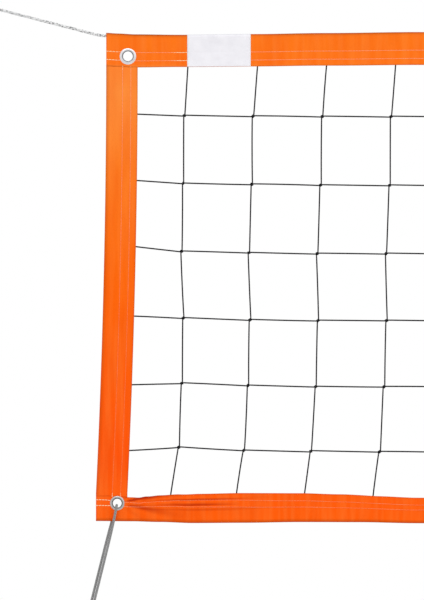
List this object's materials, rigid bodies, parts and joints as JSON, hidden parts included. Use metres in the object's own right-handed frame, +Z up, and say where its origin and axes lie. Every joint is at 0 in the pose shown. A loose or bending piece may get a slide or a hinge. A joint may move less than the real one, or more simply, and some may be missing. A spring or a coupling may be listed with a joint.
{
  "type": "beach volleyball net",
  "caption": "Long square-mesh sports net bound in orange tarpaulin tape, with eyelets at its corners, a steel rope along the top and tie cords below.",
  "frame": {"origin": "the middle of the top rope's axis, half way along the net", "axes": "+X along the net to its right end seen from the front, +Z up, -Y out of the front"},
  "size_m": [9.2552, 0.0264, 1.3593],
  "materials": {
    "tarpaulin": "orange vinyl-coated polyester tape, semi-gloss",
    "mesh_cord": "black braided polyethylene cord",
    "label": "plain white woven patch, matte",
    "stitching": "pale lockstitch thread",
    "wire_rope": "galvanised stranded steel rope",
    "ferrule": "pressed aluminium",
    "zinc_steel": "bright zinc plate",
    "nickel": "bright nickel plate",
    "tie_cord": "grey braided polyester cord"
  },
  "bodies": {
    "rope": {"rope_core": "wire_rope", "left_rope_run": "wire_rope", "left_rope_eye": "wire_rope", "left_rope_ferrule": "ferrule", "left_rope_thimble": "zinc_steel", "right_rope_run": "wire_rope", "right_rope_eye": "wire_rope", "right_rope_ferrule": "ferrule", "right_rope_thimble": "zinc_steel"},
    "net": {"top_band": "tarpaulin", "bottom_band": "tarpaulin", "left_side_band": "tarpaulin", "right_side_band": "tarpaulin", "mesh_panel": "mesh_cord", "label_patch": "label", "left_top_eyelet": "nickel", "left_top_eyelet_washer": "nickel", "left_bottom_eyelet": "nickel", "left_bottom_eyelet_washer": "nickel", "right_top_eyelet": "nickel", "right_top_eyelet_washer": "nickel", "right_bottom_eyelet": "nickel", "right_bottom_eyelet_washer": "nickel"},
    "left_hook": {"left_hook_body": "zinc_steel", "left_hook_pin": "zinc_steel"},
    "left_gate": {"left_hook_gate": "zinc_steel"},
    "left_tie": {"left_tie_front": "tie_cord", "left_tie_back": "tie_cord", "left_tie_knot": "tie_cord"},
    "right_hook": {"right_hook_body": "zinc_steel", "right_hook_pin": "zinc_steel"},
    "right_gate": {"right_hook_gate": "zinc_steel"},
    "right_tie": {"right_tie_front": "tie_cord", "right_tie_back": "tie_cord", "right_tie_knot": "tie_cord"}
  },
  "joints": [
    {"name": "net_swing", "type": "hinge", "parent": "rope", "child": "net", "pos_m": [0, 0, 0], "axis": [1, 0, 0], "range_deg": [-90, 90]},
    {"name": "left_tie_swing", "type": "hinge", "parent": "net", "child": "left_tie", "pos_m": [-4.2273, 0, -0.9574], "axis": [0, 1, 0], "range_deg": [-45, 60]},
    {"name": "left_hook_swing", "type": "hinge", "parent": "rope", "child": "left_hook", "pos_m": [-4.56103, 0, 0.07387], "axis": [0, 1, 0], "range_deg": [-60, 60]},
    {"name": "left_gate_open", "type": "hinge", "parent": "left_hook", "child": "left_gate", "pos_m": [-4.58107, 0.01, 0.07906], "axis": [0.2504, 0, 0.9681], "range_deg": [0, 25], "stiffness_Nm_per_rad": 0.02, "springref_deg": -17.19},
    {"name": "right_tie_swing", "type": "hinge", "parent": "net", "child": "right_tie", "pos_m": [4.2273, 0, -0.9574], "axis": [0, -1, 0], "range_deg": [-45, 60]},
    {"name": "right_hook_swing", "type": "hinge", "parent": "rope", "child": "right_hook", "pos_m": [4.56103, 0, 0.07387], "axis": [0, -1, 0], "range_deg": [-60, 60]},
    {"name": "right_gate_open", "type": "hinge", "parent": "right_hook", "child": "right_gate", "pos_m": [4.58107, 0.01, 0.07906], "axis": [0.2504, 0, -0.9681], "range_deg": [0, 25], "stiffness_Nm_per_rad": 0.02, "springref_deg": -17.19}
  ]
}
